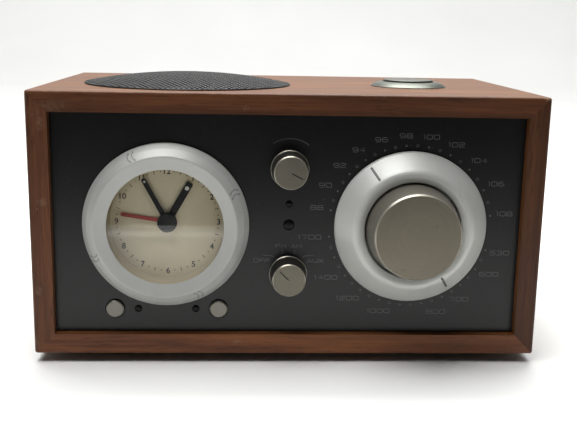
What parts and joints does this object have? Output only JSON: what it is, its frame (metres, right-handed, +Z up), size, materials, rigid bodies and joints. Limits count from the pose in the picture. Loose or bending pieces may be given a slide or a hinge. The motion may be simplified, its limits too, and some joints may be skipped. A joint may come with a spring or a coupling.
{
  "type": "table clock radio",
  "caption": "Wooden-cabinet table clock radio with an analogue clock, a large planetary tuning dial, two small knobs, a top grille and a snooze button.",
  "frame": {"origin": "middle of the bounding box in X and Y, on the plane the feet stand on", "axes": "+X to the right as seen from the front, +Y towards the back, +Z up"},
  "size_m": [0.2126, 0.1516, 0.1196],
  "materials": {
    "walnut_veneer": "satin",
    "pine": "matte",
    "black_rubber": "matte",
    "black_plastic": "matte",
    "zinc_steel": "satin",
    "ground_steel": "polished",
    "charcoal_panel": "satin",
    "board_resin": "satin",
    "lamp_lens": "glossy",
    "champagne_knob": "brushed",
    "silver_button": "satin",
    "satin_silver": "satin",
    "capacitor_plates": "satin",
    "clear_lens": "clear",
    "cream_dial": "matte",
    "black_hands": "satin",
    "red_hand": "satin",
    "black_grille": "satin",
    "basket_steel": "satin",
    "ferrite": "matte",
    "copper_wire": "satin",
    "cone_paper": "matte",
    "spider_cloth": "matte",
    "nickel": "polished",
    "battery_wrap": "satin",
    "core_steel": "matte"
  },
  "bodies": {
    "radio": {"cabinet_top": "walnut_veneer", "cabinet_bottom": "walnut_veneer", "cabinet_left_side": "walnut_veneer", "cabinet_right_side": "walnut_veneer", "corner_blocks": "pine", "rubber_feet": "black_rubber", "bass_port_tube": "black_plastic", "wood_screws": "zinc_steel", "front_panel": "charcoal_panel", "front_subpanel": "black_plastic", "control_board": "board_resin", "panel_lamps": "lamp_lens", "clock_leds": "lamp_lens", "volume_pot": "zinc_steel", "selector_switch": "zinc_steel", "tact_switches": "black_plastic", "ball_race": "zinc_steel", "capacitor_frame": "zinc_steel", "capacitor_stator": "capacitor_plates", "clock_housing": "black_plastic", "clock_lens": "clear_lens", "clock_dial": "cream_dial", "clock_movement": "black_plastic", "speaker_grille": "black_grille", "speaker_basket": "basket_steel", "speaker_magnet": "ferrite", "speaker_surround": "black_rubber", "speaker_spider": "spider_cloth", "snooze_trim_ring": "satin_silver", "rear_panel": "black_plastic", "battery_tray": "black_plastic", "battery": "battery_wrap", "audio_jacks": "black_plastic", "antenna_socket": "nickel", "dc_socket": "black_plastic", "ac_inlet": "black_plastic", "main_board": "board_resin", "transformer_core": "core_steel", "transformer_winding": "copper_wire", "ferrite_rod": "ferrite"},
    "volume_control": {"volume_knob": "champagne_knob", "volume_shaft": "ground_steel"},
    "selector_control": {"selector_knob": "champagne_knob", "selector_shaft": "ground_steel"},
    "alarm_key": {"alarm_button": "silver_button"},
    "sleep_key": {"sleep_button": "silver_button"},
    "dial_drive": {"tuning_dial_ring": "satin_silver", "drive_balls": "ground_steel", "capacitor_rotor": "capacitor_plates"},
    "tuning_control": {"tuning_knob": "champagne_knob", "tuning_shaft": "ground_steel"},
    "bezel": {"clock_bezel": "satin_silver"},
    "hour": {"hour_hand": "black_hands"},
    "minute": {"minute_hand": "black_hands"},
    "alarm": {"alarm_hand": "red_hand"},
    "cone": {"speaker_cone": "cone_paper", "voice_coil": "copper_wire"},
    "snooze": {"snooze_button": "satin_silver"},
    "slider": {"antenna_slider": "black_plastic"},
    "battery_cover": {"battery_door": "black_plastic"}
  },
  "joints": [
    {"name": "volume_turn", "type": "hinge", "parent": "radio", "child": "volume_control", "pos_m": [0, -0.05525, 0.08315], "axis": [0, 1, 0], "range_deg": [-267, 33]},
    {"name": "selector_turn", "type": "hinge", "parent": "radio", "child": "selector_control", "pos_m": [0, -0.05525, 0.03835], "axis": [0, 1, 0], "range_deg": [0, 90]},
    {"name": "dial_turn", "type": "hinge", "parent": "radio", "child": "dial_drive", "pos_m": [0.051, -0.05525, 0.05915], "axis": [0, 1, 0], "range_deg": [-48, 120]},
    {"name": "tuning_knob_turn", "type": "hinge", "parent": "radio", "child": "tuning_control", "pos_m": [0.051, -0.05525, 0.05915], "axis": [0, 1, 0], "range_deg": [-240, 600]},
    {"name": "bezel_turn", "type": "hinge", "parent": "radio", "child": "bezel", "pos_m": [-0.051, -0.05525, 0.05915], "axis": [0, 1, 0], "continuous": true},
    {"name": "alarm_hand_turn", "type": "hinge", "parent": "radio", "child": "alarm", "pos_m": [-0.051, -0.05525, 0.05915], "axis": [0, 1, 0], "continuous": true},
    {"name": "hour_hand_turn", "type": "hinge", "parent": "radio", "child": "hour", "pos_m": [-0.051, -0.05525, 0.05915], "axis": [0, 1, 0], "continuous": true},
    {"name": "minute_hand_turn", "type": "hinge", "parent": "radio", "child": "minute", "pos_m": [-0.051, -0.05525, 0.05915], "axis": [0, 1, 0], "continuous": true},
    {"name": "alarm_press", "type": "slide", "parent": "radio", "child": "alarm_key", "axis": [0, 1, 0], "range_m": [0, 0.0012], "stiffness_N_per_m": 500, "springref_m": -0.0008},
    {"name": "sleep_press", "type": "slide", "parent": "radio", "child": "sleep_key", "axis": [0, 1, 0], "range_m": [0, 0.0012], "stiffness_N_per_m": 500, "springref_m": -0.0008},
    {"name": "snooze_press", "type": "slide", "parent": "radio", "child": "snooze", "axis": [0, 0, -1], "range_m": [0, 0.0012], "stiffness_N_per_m": 600, "springref_m": -0.001},
    {"name": "cone_travel", "type": "slide", "parent": "radio", "child": "cone", "axis": [0, 0, 1], "range_m": [-0.0015, 0.0015], "stiffness_N_per_m": 1500, "deforming": ["speaker_surround", "speaker_spider"]},
    {"name": "antenna_slide", "type": "slide", "parent": "radio", "child": "slider", "axis": [1, 0, 0], "range_m": [-0.004, 0]},
    {"name": "battery_door_lift", "type": "slide", "parent": "radio", "child": "battery_cover", "axis": [0, 1, 0], "range_m": [0, 0.03]}
  ],
  "couplings": [
    {"joint": "tuning_knob_turn", "follows": "dial_turn", "ratio": 5},
    {"joint": "alarm_hand_turn", "follows": "bezel_turn", "ratio": 1},
    {"joint": "minute_hand_turn", "follows": "hour_hand_turn", "ratio": 12}
  ]
}
